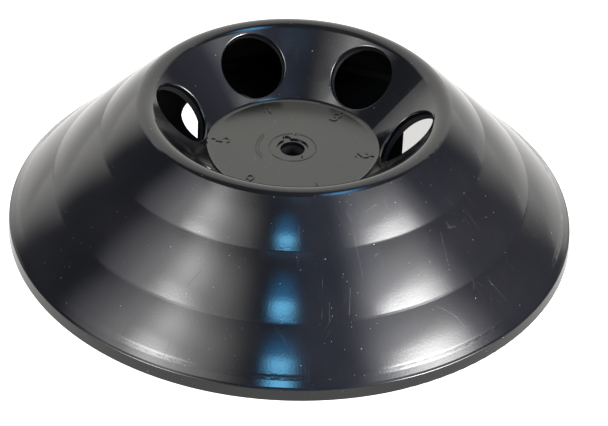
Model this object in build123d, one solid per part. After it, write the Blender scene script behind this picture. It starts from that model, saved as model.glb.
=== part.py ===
from build123d import *
import math
import os

# Fixed angle rotor for six tubes. Millimetres, +Z up, origin on the spin
# axis in the plane of the bottom rim.
#
# rotor_body  one moulding: stepped outer cone, rolled crest, inner funnel with
#             six slanted tube holes, flat numbered centre disc, hub boss
# base_plate  the second moulding: flat disc bonded into the bottom rim, with
#             six openings that the tubes reach through

# ---- driving dimensions -------------------------------------------------
RIM_R = 95.0            # outer radius at the bottom edge
RIM_TOP_R = 94.63       # outer radius at the top of the vertical rim band
RIM_H = 4.07            # height of the vertical rim band
RIM_EDGE = 0.45         # rounding at the top of the rim band
FLARE_R, FLARE_Z = 91.75, 6.35     # where the lowest cone band meets its flare
STEP2_R, STEP2_Z = 79.5, 18.45     # lower crease of the cone
STEP1_R, STEP1_Z = 63.85, 34.85    # upper crease of the cone
STEP_FILLET = 4.0       # concave rounding in the two creases
FLARE_FILLET = 7.0
BAND_R = (97.0, 128.0, 103.0)   # convex profile radius of the upper, middle and lower cone band
CREST_RC, CREST_ZC, CREST_RT = 49.32, 43.93, 4.19   # rolled crest
FUNNEL_DEG = 43.87      # slope of the inner funnel
DISC_Z = 29.47          # height of the flat centre disc
DISC_FILLET = 2.1       # rounding between disc and funnel
WALL = 4.0              # thickness of funnel and disc
CONE_THINNER = 0.6      # the outer cone is this much thinner

HOLE_N = 6
HOLE_AZ0 = 53.15        # azimuth of position 3, counterclockwise from +X
HOLE_RC = 37.55         # radius of the hole centre on the funnel surface
HOLE_R = 11.1           # tube hole radius
HOLE_TILT = 38.0        # tube axis, degrees from vertical
HOLE_EDGE = 0.5         # rounding of the hole's upper edge

BORE_R = 4.1            # shaft bore
CBORE_R, CBORE_D = 5.3, 0.6        # shallow recess round the bore
NOTCH_R, NOTCH_RC, NOTCH_D = 1.35, 5.8, 0.6   # two round notches in the edge of the recess
NOTCH_AZ = 112.0
BOSS_R, BOSS_Z = 9.5, 0.6          # hub boss under the disc
RIB_R, RIB_T, RIB_Z = 40.0, 2.5, 6.0   # six upright ribs between the tubes
PIT_R, PIT_X, PIT_Y = 0.75, 0.9, 7.7   # gate mark beside the bore
PIT_D = 0.35

SEAT_R = 90.6           # seat of the base plate in the rim
SEAT_Z = 4.1
PLATE_T = 3.0
EXIT_RC, EXIT_A, EXIT_B = 58.0, 21.0, 16.5   # oval openings in the plate: centre, radial and tangential half axes
PLATE_BORE_R = 9.5

NUM_RC = 23.4           # middle of each raised number
NUM_H, NUM_W = 4.1, 2.4
STROKE_W, STROKE_H = 0.55, 0.3
TICK_R0, TICK_R1, TICK_W = 26.1, 27.35, 0.35


def unit(a, b):
    d = math.hypot(b[0] - a[0], b[1] - a[1])
    return (b[0] - a[0]) / d, (b[1] - a[1]) / d


def bulge_mid(a, b, radius):
    """Middle of a convex arc from a to b, bulging away from the axis."""
    c = math.hypot(b[0] - a[0], b[1] - a[1])
    s = radius - math.sqrt(radius ** 2 - c * c / 4)
    ux, uz = unit(a, b)
    nx, nz = uz, -ux
    if nx < 0:
        nx, nz = -nx, -nz
    return (a[0] + b[0]) / 2 + nx * s, (a[1] + b[1]) / 2 + nz * s


# ---- outer section, from the rim up over the crest to the disc ----------
fs = math.radians(FUNNEL_DEG)
crest_in = (CREST_RC - CREST_RT * math.sin(fs), CREST_ZC + CREST_RT * math.cos(fs))
disc_corner = (crest_in[0] - (crest_in[1] - DISC_Z) / math.tan(fs), DISC_Z)

# the uppermost band leaves the crest tangentially
step1 = (STEP1_R, STEP1_Z)
step2 = (STEP2_R, STEP2_Z)
flare = (FLARE_R, FLARE_Z)
a_out = math.radians(45)
for _ in range(40):
    t = (CREST_RC + CREST_RT * math.cos(a_out), CREST_ZC + CREST_RT * math.sin(a_out))
    ch = math.hypot(step1[0] - t[0], step1[1] - t[1])
    slope = math.atan2(t[1] - step1[1], step1[0] - t[0]) - math.asin(ch / 2 / BAND_R[0])
    a_out = math.pi / 2 - slope
crest_out = (CREST_RC + CREST_RT * math.cos(a_out), CREST_ZC + CREST_RT * math.sin(a_out))
crest_top = (CREST_RC, CREST_ZC + CREST_RT)

# inner section, one wall thickness inside the outer one
CIN = CREST_RT - WALL + CONE_THINNER
in_crest_funnel = (CREST_RC - CIN * math.sin(fs), CREST_ZC + CIN * math.cos(fs))
cone_dir = unit(crest_out, (RIM_TOP_R, RIM_H))
cone_n = (-cone_dir[1], cone_dir[0])
in_crest_cone = (CREST_RC + CIN * cone_n[0], CREST_ZC + CIN * cone_n[1])
in_top = (CREST_RC + CIN * math.cos((math.pi / 2 + fs + math.atan2(cone_n[1], cone_n[0])) / 2),
          CREST_ZC + CIN * math.sin((math.pi / 2 + fs + math.atan2(cone_n[1], cone_n[0])) / 2))
under_z = DISC_Z - WALL
k = (in_crest_funnel[1] - under_z) / math.tan(fs)
under_corner = (in_crest_funnel[0] - k, under_z)
seat_in_r = 87.2
kk = (seat_in_r - in_crest_cone[0]) / cone_dir[0]
in_cone_low = (seat_in_r, in_crest_cone[1] + kk * cone_dir[1])

with BuildSketch(Plane.XZ) as sec:
    with BuildLine():
        Line((BORE_R, BOSS_Z), (BORE_R, DISC_Z))
        Line((BORE_R, DISC_Z), disc_corner)
        Line(disc_corner, crest_in)
        ThreePointArc(crest_in, crest_top, crest_out)
        ThreePointArc(crest_out, bulge_mid(crest_out, step1, BAND_R[0]), step1)
        ThreePointArc(step1, bulge_mid(step1, step2, BAND_R[1]), step2)
        ThreePointArc(step2, bulge_mid(step2, flare, BAND_R[2]), flare)
        Line(flare, (RIM_TOP_R, RIM_H))
        Line((RIM_TOP_R, RIM_H), (RIM_R, 0))
        Line((RIM_R, 0), (SEAT_R, 0))
        Line((SEAT_R, 0), (SEAT_R, SEAT_Z))
        Line((SEAT_R, SEAT_Z), (seat_in_r, SEAT_Z))
        Line((seat_in_r, SEAT_Z), in_cone_low)
        Line(in_cone_low, in_crest_cone)
        ThreePointArc(in_crest_cone, in_top, in_crest_funnel)
        Line(in_crest_funnel, under_corner)
        Line(under_corner, (BOSS_R, under_z))
        Line((BOSS_R, under_z), (BOSS_R, BOSS_Z))
        Line((BOSS_R, BOSS_Z), (BORE_R, BOSS_Z))
    make_face()

    def at(p):
        return min(sec.vertices(), key=lambda v: math.hypot(v.X - p[0], v.Y - p[1]))

    fillet(at(step1), STEP_FILLET)
    fillet(at(step2), STEP_FILLET)
    fillet(at(flare), FLARE_FILLET)
    fillet(at((RIM_TOP_R, RIM_H)), RIM_EDGE)
    fillet(at(disc_corner), DISC_FILLET)
    fillet(at(under_corner), 3.0)
    fillet(at((BOSS_R, under_z)), 1.5)
    fillet(at((RIM_R, 0)), 0.25)

body = Rot(0, 0, HOLE_AZ0 - 30) * revolve(sec.sketch, axis=Axis.Z)

# ---- upright ribs under the disc and funnel ------------------------------


def under(r):
    return max(under_z, under_z + (r - under_corner[0]) * math.tan(fs)) + 1.5


rib_pts = [(BORE_R + 2, RIB_Z), (RIB_R, RIB_Z), (RIB_R, under(RIB_R)), (under_corner[0], under_z + 1.5),
           (BORE_R + 2, under_z + 1.5)]
rib = extrude(Plane.XZ * make_face(Polyline(*rib_pts, close=True)), RIB_T / 2, both=True)
for i in range(HOLE_N):
    body += Rot(0, 0, HOLE_AZ0 - 30 + 60 * i) * rib

# ---- six slanted tube holes ---------------------------------------------
tilt = math.radians(HOLE_TILT)
hole_z = crest_in[1] + (HOLE_RC - crest_in[0]) * math.tan(fs)


def hole_frame(i):
    a = math.radians(HOLE_AZ0 + 60 * i)
    c = Vector(HOLE_RC * math.cos(a), HOLE_RC * math.sin(a), hole_z)
    d = Vector(math.sin(tilt) * math.cos(a), math.sin(tilt) * math.sin(a), -math.cos(tilt))
    return c, d


for i in range(HOLE_N):
    c, d = hole_frame(i)
    start = c - d * 18
    body -= extrude(Plane(origin=start, z_dir=d) * Circle(HOLE_R), 31)

rims = []
for e in body.edges():
    bc = e.center(CenterOf.BOUNDING_BOX)
    for i in range(HOLE_N):
        c, d = hole_frame(i)
        v = bc - c
        s = v.dot(d)
        if (v - d * s).length < 2.0 and -2.5 < s < 0.9 and e.length > 20:
            rims.append(e)
print("hole rims", len(rims), [round(e.length, 1) for e in rims])
try:
    body = fillet(rims, HOLE_EDGE)
except Exception as err:
    print("rim rounding left off:", err)

# ---- hub recess, drive notches, gate mark --------------------------------
body -= Pos(0, 0, DISC_Z - CBORE_D) * Cylinder(CBORE_R, 5, align=(Align.CENTER, Align.CENTER, Align.MIN))
for s in (0, 180):
    a = math.radians(NOTCH_AZ + s)
    body -= Pos(NOTCH_RC * math.cos(a), NOTCH_RC * math.sin(a), DISC_Z - NOTCH_D) * Cylinder(
        NOTCH_R, 5, align=(Align.CENTER, Align.CENTER, Align.MIN))
ball = (PIT_R ** 2 + PIT_D ** 2) / (2 * PIT_D)
body -= Pos(PIT_X, PIT_Y, DISC_Z + ball - PIT_D) * Sphere(ball)

# ---- raised numbers and ticks --------------------------------------------
W, H = NUM_W, NUM_H
STROKES = {
    1: [[(0.28 * W, 0.80 * H), (0.55 * W, H), (0.55 * W, 0)]],
    2: [[(0, 0.78 * H), (0.10 * W, 0.93 * H), (0.32 * W, H), (0.68 * W, H), (0.92 * W, 0.90 * H),
         (W, 0.72 * H), (0.88 * W, 0.52 * H), (0, 0), (W, 0)]],
    3: [[(0, 0.86 * H), (0.22 * W, H), (0.70 * W, H), (0.95 * W, 0.88 * H), (0.95 * W, 0.68 * H),
         (0.70 * W, 0.54 * H), (0.38 * W, 0.54 * H)],
        [(0.70 * W, 0.54 * H), (W, 0.38 * H), (W, 0.16 * H), (0.72 * W, 0), (0.22 * W, 0),
         (0, 0.14 * H)]],
    4: [[(0.72 * W, 0), (0.72 * W, H), (0, 0.30 * H), (W, 0.30 * H)]],
    5: [[(0.92 * W, H), (0.12 * W, H), (0.04 * W, 0.56 * H), (0.34 * W, 0.64 * H), (0.72 * W, 0.62 * H),
         (W, 0.42 * H), (W, 0.20 * H), (0.72 * W, 0), (0.24 * W, 0), (0, 0.12 * H)]],
    6: [[(0.90 * W, 0.92 * H), (0.62 * W, H), (0.34 * W, 0.96 * H), (0.08 * W, 0.70 * H), (0, 0.34 * H),
         (0.12 * W, 0.08 * H), (0.36 * W, 0), (0.70 * W, 0), (0.96 * W, 0.16 * H), (0.96 * W, 0.40 * H),
         (0.70 * W, 0.56 * H), (0.34 * W, 0.56 * H), (0.06 * W, 0.40 * H)]],
}
# reading direction: tops point outward; positions run counterclockwise from above
NUMBERS = {0: 3, 1: 4, 2: 5, 3: 6, 4: 1, 5: 2}
SINK = 0.4
for i, n in NUMBERS.items():
    az = HOLE_AZ0 + 60 * i
    with BuildSketch() as digit:
        for line in STROKES[n]:
            pts = [(x - W / 2, y - H / 2) for x, y in line]
            for p, q in zip(pts, pts[1:]):
                ux, uy = unit(p, q)
                length = math.hypot(q[0] - p[0], q[1] - p[1])
                with Locations(Location(((p[0] + q[0]) / 2, (p[1] + q[1]) / 2, 0),
                                        (0, 0, math.degrees(math.atan2(uy, ux))))):
                    SlotCenterToCenter(length, STROKE_W)
    solid = extrude(digit.sketch, STROKE_H + SINK)
    place = Rot(0, 0, az) * Pos(NUM_RC, 0, DISC_Z - SINK) * Rot(0, 0, -90)
    body += place * solid
    tick = Box(TICK_R1 - TICK_R0, TICK_W, STROKE_H + SINK, align=(Align.MIN, Align.CENTER, Align.MIN))
    body += Rot(0, 0, az) * Pos(TICK_R0, 0, DISC_Z - SINK) * tick

# ---- base plate ----------------------------------------------------------
plate_z = SEAT_Z - PLATE_T
plate = Pos(0, 0, plate_z) * Cylinder(SEAT_R, PLATE_T, align=(Align.CENTER, Align.CENTER, Align.MIN))
plate -= Pos(0, 0, plate_z - 1) * Cylinder(PLATE_BORE_R, PLATE_T + 2, align=(Align.CENTER, Align.CENTER, Align.MIN))
oval = extrude(Ellipse(EXIT_A, EXIT_B), PLATE_T + 2)
for i in range(HOLE_N):
    plate -= Rot(0, 0, HOLE_AZ0 + 60 * i) * Pos(EXIT_RC, 0, plate_z - 1) * oval
try:
    ex = [e for e in plate.edges() if 90 < e.length < 140]
    plate = fillet(ex, 0.4)
except Exception as err:
    print("opening rounding left off:", err)

parts = {"rotor_body": body, "base_plate": plate}
os.makedirs("parts", exist_ok=True)
for name, shape in parts.items():
    solids = shape.solids()
    one = solids[0] if len(solids) == 1 else Compound(children=solids)
    print(name, "solids", len(solids), "volume", round(sum(s.volume for s in solids)), "valid", one.is_valid)
    export_step(one, f"parts/{name}.step")
c, d = hole_frame(0)
print("hole centre z", round(hole_z, 2), "crest_out", crest_out, "disc corner", disc_corner)
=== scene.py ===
import bpy, math
import numpy as np
from mathutils import Matrix, Vector

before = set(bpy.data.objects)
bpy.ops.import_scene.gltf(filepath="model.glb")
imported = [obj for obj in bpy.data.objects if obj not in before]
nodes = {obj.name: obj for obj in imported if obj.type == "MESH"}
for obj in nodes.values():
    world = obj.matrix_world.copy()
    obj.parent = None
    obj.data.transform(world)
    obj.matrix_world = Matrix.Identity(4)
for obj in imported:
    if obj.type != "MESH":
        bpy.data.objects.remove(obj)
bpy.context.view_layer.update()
scn = bpy.context.scene

# ---------------------------------------------------------------- camera
F_PX, DIST, ELEV, ROLL, AX, AY = 2600.0, 9.2912, 36.648, -2.334, 0.0054, -0.0023
R_M = 0.095


def rot(axis, t):
    c, s = math.cos(t), math.sin(t)
    return {"x": np.array([[1, 0, 0], [0, c, -s], [0, s, c]]),
            "y": np.array([[c, 0, s], [0, 1, 0], [-s, 0, c]]),
            "z": np.array([[c, -s, 0], [s, c, 0], [0, 0, 1]])}[axis]


e = math.radians(ELEV)
back = np.array([0, -math.cos(e), math.sin(e)])
right = np.array([1.0, 0, 0])
up = np.cross(back, right)
Rw = rot("z", math.radians(ROLL)) @ rot("x", AY) @ rot("y", AX) @ np.stack([right, up, back])
pos = DIST * back * R_M
cam_data = bpy.data.cameras.new("camera")
cam_data.sensor_fit = "HORIZONTAL"
cam_data.sensor_width = 36.0
cam_data.lens = F_PX / 608.0 * 36.0
cam_data.clip_start = 0.05
cam_data.clip_end = 20.0
cam = bpy.data.objects.new("camera", cam_data)
M = Matrix.Identity(4)
for i in range(3):
    for j in range(3):
        M[i][j] = Rw[j][i]
    M[i][3] = pos[i]
cam.matrix_world = M
scn.collection.objects.link(cam)
scn.camera = cam


# ------------------------------------------------------------ node helper
class Net:
    def __init__(self, nt):
        self.nt = nt

    def node(self, kind, **props):
        n = self.nt.nodes.new(kind)
        for k, v in props.items():
            setattr(n, k, v)
        return n

    def put(self, sock, v):
        if isinstance(v, bpy.types.NodeSocket):
            self.nt.links.new(v, sock)
        else:
            sock.default_value = v

    def math(self, op, a, b=None, c=None, clamp=False):
        n = self.node("ShaderNodeMath", operation=op, use_clamp=clamp)
        self.put(n.inputs[0], a)
        if b is not None:
            self.put(n.inputs[1], b)
        if c is not None:
            self.put(n.inputs[2], c)
        return n.outputs[0]

    def dot(self, a, b):
        n = self.node("ShaderNodeVectorMath", operation="DOT_PRODUCT")
        self.put(n.inputs[0], a)
        self.put(n.inputs[1], b)
        return n.outputs["Value"]

    def vmath(self, op, a, b=None, scale=None):
        n = self.node("ShaderNodeVectorMath", operation=op)
        self.put(n.inputs[0], a)
        if b is not None:
            self.put(n.inputs[1], b)
        if scale is not None:
            self.put(n.inputs["Scale"], scale)
        return n.outputs[0]

    def ramp(self, v, lo, hi, a=0.0, b=1.0, kind="SMOOTHSTEP"):
        n = self.node("ShaderNodeMapRange", interpolation_type=kind)
        self.put(n.inputs["Value"], v)
        n.inputs["From Min"].default_value = lo
        n.inputs["From Max"].default_value = hi
        n.inputs["To Min"].default_value = a
        n.inputs["To Max"].default_value = b
        return n.outputs[0]

    def mix(self, f, a, b):
        n = self.node("ShaderNodeMix", data_type="RGBA")
        self.put(n.inputs[0], f)
        for s, v in ((n.inputs[6], a), (n.inputs[7], b)):
            self.put(s, v if isinstance(v, bpy.types.NodeSocket) else (*v, 1))
        return n.outputs[2]


def new_mat(name):
    m = bpy.data.materials.new(name)
    m.use_nodes = True
    nt = m.node_tree
    nt.nodes.clear()
    out = nt.nodes.new("ShaderNodeOutputMaterial")
    b = nt.nodes.new("ShaderNodeBsdfPrincipled")
    nt.links.new(b.outputs[0], out.inputs[0])
    return m, Net(nt), b


def emissive(name, col, strength):
    m = bpy.data.materials.new(name)
    m.use_nodes = True
    nt = m.node_tree
    nt.nodes.clear()
    out = nt.nodes.new("ShaderNodeOutputMaterial")
    em = nt.nodes.new("ShaderNodeEmission")
    em.inputs[0].default_value = (*col, 1)
    em.inputs[1].default_value = strength
    nt.links.new(em.outputs[0], out.inputs[0])
    return m


# ------------------------------------------------------------- materials
def coords(N):
    """Object position in metres, with its radius and height."""
    P = N.node("ShaderNodeTexCoord").outputs["Object"]
    sep = N.node("ShaderNodeSeparateXYZ")
    N.put(sep.inputs[0], P)
    x, y, z = sep.outputs
    r = N.math("SQRT", N.math("ADD", N.math("MULTIPLY", x, x), N.math("MULTIPLY", y, y)))
    return P, x, y, z, r


def noise(N, vec, scale, detail=2.0, rough=0.5):
    n = N.node("ShaderNodeTexNoise")
    N.put(n.inputs["Vector"], vec)
    n.inputs["Scale"].default_value = scale
    n.inputs["Detail"].default_value = detail
    n.inputs["Roughness"].default_value = rough
    return n.outputs[0]


def streaks(N, x, y, r, twist, across, along, width, keep, seed):
    """Fine short scratches that run down the slope, twisted round the axis by twist rad/m."""
    t = N.math("MULTIPLY", r, twist)
    c, sn = N.math("COSINE", t), N.math("SINE", t)
    rs = N.math("MAXIMUM", r, 0.004)
    ux, uy = N.math("DIVIDE", x, rs), N.math("DIVIDE", y, rs)
    vx = N.math("SUBTRACT", N.math("MULTIPLY", ux, c), N.math("MULTIPLY", uy, sn))
    vy = N.math("ADD", N.math("MULTIPLY", ux, sn), N.math("MULTIPLY", uy, c))
    cmb = N.node("ShaderNodeCombineXYZ")
    N.put(cmb.inputs[0], N.math("MULTIPLY", vx, across))
    N.put(cmb.inputs[1], N.math("MULTIPLY", vy, across))
    N.put(cmb.inputs[2], N.math("ADD", N.math("MULTIPLY", r, along), seed))
    v = noise(N, cmb.outputs[0], 1.0, 0.0)
    line = N.ramp(N.math("ABSOLUTE", N.math("SUBTRACT", v, 0.5)), width, width * 0.25)
    m = noise(N, N.vmath("MULTIPLY", cmb.outputs[0], (0.4, 0.4, 15.0)), 1.0, 1.0)
    return N.math("MULTIPLY", line, N.ramp(m, keep, keep + 0.06))


def stroke(N, P, p0, p1, width):
    """One scratch, dent or chip: a thin band along the line from p0 to p1, in mm."""
    A, B = Vector(p0) * 0.001, Vector(p1) * 0.001
    d = B - A
    pa = N.vmath("SUBTRACT", P, tuple(A))
    h = N.math("DIVIDE", N.dot(pa, tuple(d)), max(d.length_squared, 1e-12), clamp=True)
    off = N.vmath("SUBTRACT", pa, N.vmath("SCALE", tuple(d), scale=h))
    ln = N.node("ShaderNodeVectorMath", operation="LENGTH")
    N.put(ln.inputs[0], off)
    return N.ramp(ln.outputs["Value"], width * 0.001, width * 0.0004)


def specks(N, P, scale, radius, keep, seed):
    v = N.node("ShaderNodeTexVoronoi")
    N.put(v.inputs["Vector"], N.vmath("ADD", P, (seed, 0.3 * seed, 0.0)))
    v.inputs["Scale"].default_value = scale
    dot = N.ramp(v.outputs["Distance"], radius, radius * 0.4)
    sc = N.node("ShaderNodeSeparateColor")
    N.put(sc.inputs[0], v.outputs["Color"])
    return N.math("MULTIPLY", dot, N.ramp(sc.outputs[0], keep, keep + 0.06)), sc.outputs[1]


def total_of(N, items, op="MAXIMUM"):
    out = items[0]
    for i in items[1:]:
        out = N.math(op, out, i)
    return out


def bump(N, layers, normal_to):
    """One bump from a sum of (height 0..1, depth in metres) layers."""
    h = None
    for v, depth in layers:
        t = N.math("MULTIPLY", v, depth * 1e5)
        h = t if h is None else N.math("ADD", h, t)
    bn = N.node("ShaderNodeBump")
    bn.inputs["Strength"].default_value = 1.0
    bn.inputs["Distance"].default_value = 1e-5
    N.put(bn.inputs["Height"], h)
    N.put(normal_to, bn.outputs[0])


# glossy black moulding, with a matte underside and dull tube holes
body_m, N, b = new_mat("gloss_black")
P, x, y, z, r = coords(N)
# the unseen side of the wall
g_fun = N.math("SUBTRACT", z, N.math("ADD", 0.02947, N.math("MULTIPLY", N.math("MAXIMUM", N.math("SUBTRACT", r, 0.02823), 0.0), 0.9613)))
g_cone = N.math("SUBTRACT", z, N.math("SUBTRACT", 0.04709, N.math("MULTIPLY", N.math("SUBTRACT", r, 0.05207), 1.0108)))
in_fun = N.math("MULTIPLY", N.ramp(g_fun, -0.0018, -0.0024), N.math("LESS_THAN", r, 0.0493))
in_cone = N.math("MULTIPLY", N.ramp(g_cone, -0.0026, -0.0032), N.math("MULTIPLY", N.math("GREATER_THAN", r, 0.0493), N.math("LESS_THAN", r, 0.0943)))
inside = N.math("MAXIMUM", in_fun, in_cone)
# walls of the six tube holes
phi = N.math("SUBTRACT", N.math("ARCTAN2", y, x), math.radians(53.15 - 30))
phi = N.math("SUBTRACT", N.math("FLOORED_MODULO", phi, math.radians(60)), math.radians(30))
qx = N.math("SUBTRACT", N.math("MULTIPLY", r, N.math("COSINE", phi)), 0.03755)
qy = N.math("MULTIPLY", r, N.math("SINE", phi))
qz = N.math("SUBTRACT", z, 0.03843)
ts, tc = math.sin(math.radians(38)), math.cos(math.radians(38))
qa = N.math("SUBTRACT", N.math("MULTIPLY", qx, ts), N.math("MULTIPLY", qz, tc))
q2 = total_of(N, [N.math("MULTIPLY", q, q) for q in (qx, qy, qz)], "ADD")
hd = N.math("SQRT", N.math("MAXIMUM", N.math("SUBTRACT", q2, N.math("MULTIPLY", qa, qa)), 0.0))
hole = N.math("MULTIPLY", N.ramp(hd, 0.01135, 0.01118), N.math("LESS_THAN", r, 0.052))
dull = N.math("MAXIMUM", inside, hole)
# wear
cloud = noise(N, P, 26.0, 3.0)
patch = noise(N, P, 11.0, 1.0)
scr = [streaks(N, x, y, r, 0.0, 62.0, 9.0, 0.021, 0.585, 1.0),
       streaks(N, x, y, r, 11.0, 48.0, 11.0, 0.017, 0.61, 4.0),
       streaks(N, x, y, r, -9.0, 54.0, 10.0, 0.017, 0.62, 9.0)]
fine = N.math("MULTIPLY", total_of(N, scr), N.math("LESS_THAN", r, 0.0925))
MARKS = [((11.0, -69.6, 28.6), (11.3, -77.7, 19.6), 0.16), ((13.4, -74.2, 23.3), (13.7, -78.2, 18.5), 0.15),
         ((19.8, -70.2, 26.0), (19.8, -75.7, 20.0), 0.17), ((23.4, -52.2, 42.3), (27.4, -48.8, 43.5), 0.15),
         ((47.4, -66.1, 16.9), (50.3, -66.0, 15.4), 0.17), ((50.3, -66.0, 15.4), (54.0, -66.3, 13.0), 0.19),
         ((54.0, -66.3, 13.0), (57.0, -67.7, 10.0), 0.17), ((61.7, -48.8, 19.5), (67.5, -52.0, 13.3), 0.14),
         ((64.4, -50.8, 16.3), (70.6, -53.0, 10.2), 0.14), ((48.1, -47.0, 31.8), (50.6, -53.7, 25.1), 0.15),
         ((50.0, -43.0, 33.0), (51.4, -44.0, 31.4), 0.28), ((50.4, -44.3, 31.9), (53.0, -42.5, 31.1), 0.26),
         ((27.2, -61.1, 32.1), (28.0, -60.4, 32.4), 0.42)]
cuts = total_of(N, [stroke(N, P, *m) for m in MARKS])
# crease dents: recessed by the bump and rougher, and darkened in colour, which is painted shade in the creases
CREASES = [((-31.4, -68.8, 23.1), (-26.9, -66.2, 27.6), 0.11), ((-28.6, -53.2, 38.9), (-23.8, -55.3, 39.1), 0.10),
           ((-37.6, -83.8, 6.3), (-35.3, -80.5, 10.6), 0.11), ((72.8, 4.1, 26.1), (73.3, 5.2, 25.5), 0.55),
           ((76.3, 12.8, 20.9), (77.0, 14.2, 20.2), 0.5)]
dents_and_painted_shade = total_of(N, [stroke(N, P, *m) for m in CREASES])
dust1, tone = specks(N, P, 330.0, 0.060, 0.68, 0.0)
dust2, tone2 = specks(N, P, 620.0, 0.085, 0.66, 0.71)
dust = N.math("MAXIMUM", dust1, N.math("MULTIPLY", dust2, 0.6))
dust = N.math("MULTIPLY", dust, N.ramp(patch, 0.34, 0.58, 0.40, 1.0))
# disc: circle left by a washer, and two short scuff arcs beside it
on_disc = N.math("MULTIPLY", N.math("LESS_THAN", r, 0.0281), N.ramp(z, 0.0288, 0.0292))
ring = N.ramp(N.math("ABSOLUTE", N.math("SUBTRACT", r, 0.0079)), 0.00032, 0.00006)
arcs = None
for r0, off in ((0.0102, -0.0012), (0.0113, -0.0010)):
    dxr = N.math("SUBTRACT", x, off)
    rr = N.math("SQRT", N.math("ADD", N.math("MULTIPLY", dxr, dxr), N.math("MULTIPLY", y, y)))
    a1 = N.ramp(N.math("ABSOLUTE", N.math("SUBTRACT", rr, r0)), 0.00026, 0.00006)
    a1 = N.math("MULTIPLY", a1, N.ramp(x, -0.0092, -0.0104))
    arcs = a1 if arcs is None else N.math("MAXIMUM", arcs, a1)
ringn = N.math("MULTIPLY", ring, N.ramp(noise(N, P, 170.0, 1.0), 0.30, 0.50, 0.35, 1.0))
disc_marks = N.math("MULTIPLY", on_disc, N.math("MAXIMUM", ringn, N.math("MULTIPLY", arcs, 0.8)))
# colour
outer = N.math("SUBTRACT", 1.0, dull)
wear = N.math("MULTIPLY", N.math("MAXIMUM", N.math("MULTIPLY", fine, N.ramp(patch, 0.40, 0.62, 0.03, 0.16)), N.math("MULTIPLY", cuts, 0.3)), outer)
base = N.mix(N.ramp(cloud, 0.35, 0.7), (0.0020, 0.0020, 0.0026), (0.0042, 0.0040, 0.0044))
base = N.mix(on_disc, base, (0.0048, 0.0050, 0.0036))
base = N.mix(N.math("MULTIPLY", wear, 0.7), base, (0.05, 0.05, 0.056))
base = N.mix(N.math("MULTIPLY", N.math("MULTIPLY", dust, outer), N.ramp(tone, 0.0, 1.0, 0.25, 1.0)), base, (0.30, 0.30, 0.31))
base = N.mix(N.math("MULTIPLY", disc_marks, 0.8), base, (0.0015, 0.0015, 0.0015))
# painted shade: the crease dents are darkened
base = N.mix(N.math("MULTIPLY", dents_and_painted_shade, 0.3), base, (0.001, 0.001, 0.001))
N.put(b.inputs["Base Color"], base)
# roughness
ro = N.ramp(cloud, 0.3, 0.72, 0.085, 0.135)
ro = N.math("ADD", ro, N.math("MULTIPLY", on_disc, 0.07))
ro = N.math("ADD", ro, N.math("MULTIPLY", N.math("MAXIMUM", wear, N.math("MULTIPLY", dents_and_painted_shade, 0.3)), 0.4))
ro = N.math("MAXIMUM", ro, N.math("MULTIPLY", dust, 0.9))
ro = N.math("MAXIMUM", ro, N.math("MULTIPLY", inside, 0.6))
ro = N.math("MAXIMUM", ro, N.math("MULTIPLY", hole, 0.2))
N.put(b.inputs["Roughness"], ro)
b.inputs["IOR"].default_value = 1.5
b.inputs["Specular IOR Level"].default_value = 0.5
grain = noise(N, P, 1500.0, 1.0)
# the flare above the rim stays nearly as steep as the band, down to a fine dark edge
fl1 = N.ramp(r, 0.0908, 0.0924, kind="LINEAR")
fl1 = N.math("MULTIPLY", fl1, fl1)
fl2 = N.ramp(r, 0.0924, 0.09395, kind="LINEAR")
mid = N.ramp(r, 0.06385, 0.0795, kind="LINEAR")
low = N.ramp(r, 0.0795, 0.0913, kind="LINEAR")
wave = noise(N, P, 85.0, 1.0)
bump(N, [(wave, 0.000006), (grain, 0.000008), (cuts, -0.000003),
         (fl1, -0.000185), (fl2, -0.000315), (mid, 0.000336), (low, -0.000264),
         (dents_and_painted_shade, -0.000008), (disc_marks, -0.00010), (dust, 0.00003)], b.inputs["Normal"])

# matte black plate under it
plate_m, N, b = new_mat("plate_black")
P, x, y, z, r = coords(N)
cloud = noise(N, P, 30.0, 3.0)
fine = total_of(N, [streaks(N, x, y, r, 25.0, 14.0, 90.0, 0.02, 0.55, 2.0),
                    streaks(N, x, y, r, -40.0, 12.0, 70.0, 0.02, 0.55, 5.0)])
dust, tone = specks(N, P, 420.0, 0.09, 0.7, 0.2)
base = N.mix(N.ramp(cloud, 0.3, 0.7), (0.0045, 0.0045, 0.005), (0.009, 0.009, 0.0095))
base = N.mix(N.math("MULTIPLY", fine, 0.5), base, (0.05, 0.05, 0.05))
base = N.mix(N.math("MULTIPLY", dust, 0.5), base, (0.25, 0.25, 0.25))
# roughness follows the cloud noise, a little higher along the fine scratches
N.put(b.inputs["Base Color"], base)
N.put(b.inputs["Roughness"], N.math("ADD", N.ramp(cloud, 0.3, 0.7, 0.50, 0.62), N.math("MULTIPLY", fine, 0.1)))
b.inputs["IOR"].default_value = 1.45
b.inputs["Specular IOR Level"].default_value = 0.2
bump(N, [(noise(N, P, 900.0, 2.0), 0.00002), (fine, -0.00001)], b.inputs["Normal"])

for name, m in (("rotor_body", body_m), ("base_plate", plate_m)):
    for s in nodes[name].material_slots:
        s.material = m

# ------------------------------------------------- studio: world and floor
w = bpy.data.worlds.new("studio")
w.use_nodes = True
wt = w.node_tree
wt.nodes.clear()
W = Net(wt)
wout = W.node("ShaderNodeOutputWorld")
bg = W.node("ShaderNodeBackground")
wt.links.new(bg.outputs[0], wout.inputs[0])
dirv = W.vmath("NORMALIZE", W.node("ShaderNodeTexCoord").outputs["Generated"])
dx, dy, dz = (W.dot(dirv, v) for v in ((1, 0, 0), (0, 1, 0), (0, 0, 1)))
DEG = 180.0 / math.pi
AZ = W.math("MULTIPLY", W.math("ARCTAN2", dx, W.math("MULTIPLY", dy, -1.0)), DEG)
EL = W.math("MULTIPLY", W.math("ARCSINE", dz), DEG)
total = None


def add_light(col, mask):
    global total
    c = W.vmath("SCALE", col, scale=mask)
    total = c if total is None else W.vmath("ADD", total, c)


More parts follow.
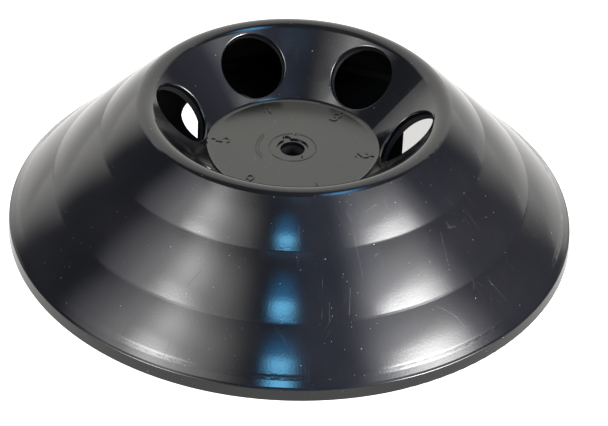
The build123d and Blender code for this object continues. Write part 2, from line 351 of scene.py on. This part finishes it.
def lamp(a0, a1, e0, e1, sa0, sa1, se0, se1, col):
    """A soft box from azimuth a0 to a1 (from the front, + to the right) and height
    e0 to e1, with the half softness of each edge, all in degrees."""
    m = W.math("MULTIPLY", W.ramp(AZ, a0 - sa0, a0 + sa0), W.ramp(AZ, a1 + sa1, a1 - sa1))
    m = W.math("MULTIPLY", m, W.ramp(EL, e0 - se0, e0 + se0))
    m = W.math("MULTIPLY", m, W.ramp(EL, e1 + se1, e1 - se1))
    add_light(col, m)


add_light((0.13, 0.14, 0.175), 1.0)
lamp(6, 62, 30, 66, 12, 8, 8, 10, (0.20, 0.24, 0.42))        # bluish fill
lamp(-71, -30, 5, 54, 15, 18, 8, 10, (4.2, 4.1, 4.0))         # left soft box
lamp(-64, -48, 37, 51, 9, 10, 5.5, 7, (4.9, 4.9, 4.9))
lamp(-60, -44, 16, 33, 10, 11, 5, 7, (32.0, 32.0, 32.0))
lamp(42, 78, 5, 48, 14, 17, 8, 9, (5.4, 5.4, 5.5))           # right soft box
lamp(45, 66, 8, 33, 6, 18, 5, 8, (62.0, 62.0, 61.0))
lamp(44, 66, 51, 63, 14, 6, 5.5, 5, (1.5, 1.6, 1.7))
lamp(-7, 3.6, 42.6, 46.2, 4, 4, 1.4, 1.6, (3.3, 10.3, 15.6))   # blue lamp and its glow
lamp(-8, 4, 41, 52, 6, 6, 2.5, 6.0, (0.15, 2.1, 4.8))
lamp(-20, 17, 60.5, 61.2, 5, 5, 1.5, 1.5, (0.6, 1.7, 2.9))
lamp(50, 85, 65, 73, 18, 18, 7, 5, (1.6, 7.4, 14.5))
lamp(-90, -69, 13, 47, 9, 6, 9, 3, (1.4, 1.4, 1.5))           # side fills
lamp(74, 109, 2, 46, 4, 30, 5, 6, (0.37, 0.38, 0.5))
# backdrop
sy = W.math("MAXIMUM", dy, 0.001)
X = W.math("ABSOLUTE", W.math("ADD", W.math("DIVIDE", dx, sy), 0.127))
Z = W.math("DIVIDE", dz, sy)
X = W.math("SUBTRACT", X, W.math("MULTIPLY", Z, 0.33))
mk = W.math("MULTIPLY", W.ramp(X, 1.53, 0.71), W.ramp(Z, 5.0, 0.82))
mk = W.math("MULTIPLY", mk, W.ramp(dy, 0.0, 0.02))
mk = W.math("MULTIPLY", mk, W.ramp(EL, 3.0, 32.0, 0.95, 1.0))
add_light((1.55, 1.52, 1.43), mk)
W.put(bg.inputs["Color"], total)
bg.inputs["Strength"].default_value = 1.0
scn.world = w
scn.view_settings.view_transform = "Standard"

bpy.ops.mesh.primitive_plane_add(size=8, location=(0, 0, -0.0002))
floor = bpy.context.object
floor.name = "floor"
floor_m = bpy.data.materials.new("floor_white")
floor_m.use_nodes = True
floor_m.node_tree.nodes.clear()
N = Net(floor_m.node_tree)
P, x, y, z, r = coords(N)
em = N.node("ShaderNodeEmission")
em.inputs[0].default_value = (1, 0.99, 0.97, 1)
# pale emissive floor with painted shadow: in reflections it is dark under the object (painted shadow), brightest just
# outside the rim and a little dimmer further out; to the camera it is white, with a painted shadow under the rear wall
# and a dimmer patch to the right
reflected_glow_with_painted_shadow = N.math("MULTIPLY", N.ramp(r, 0.088, 0.0945, 0.03, 1.35), N.ramp(r, 0.12, 0.30, 1.0, 0.84))
see = N.node("ShaderNodeLightPath").outputs["Is Camera Ray"]
under = N.ramp(r, 0.088, 0.0935, 1.0, 0.0)
# painted shadow for camera rays under the object: near black under the rear wall, dimmer to the right
painted_floor_shade = N.math("MULTIPLY", N.ramp(x, -0.005, 0.025, 1.7, 0.72), N.ramp(y, 0.0655, 0.0695, 1.0, 0.01))
seen = N.math("SUBTRACT", 1.7, N.math("MULTIPLY", under, N.math("SUBTRACT", 1.7, painted_floor_shade)))
N.put(em.inputs[1], N.math("MAXIMUM", reflected_glow_with_painted_shadow, N.math("MULTIPLY", see, seen)))
N.put(N.node("ShaderNodeOutputMaterial").inputs[0], em.outputs[0])
floor.data.materials.append(floor_m)
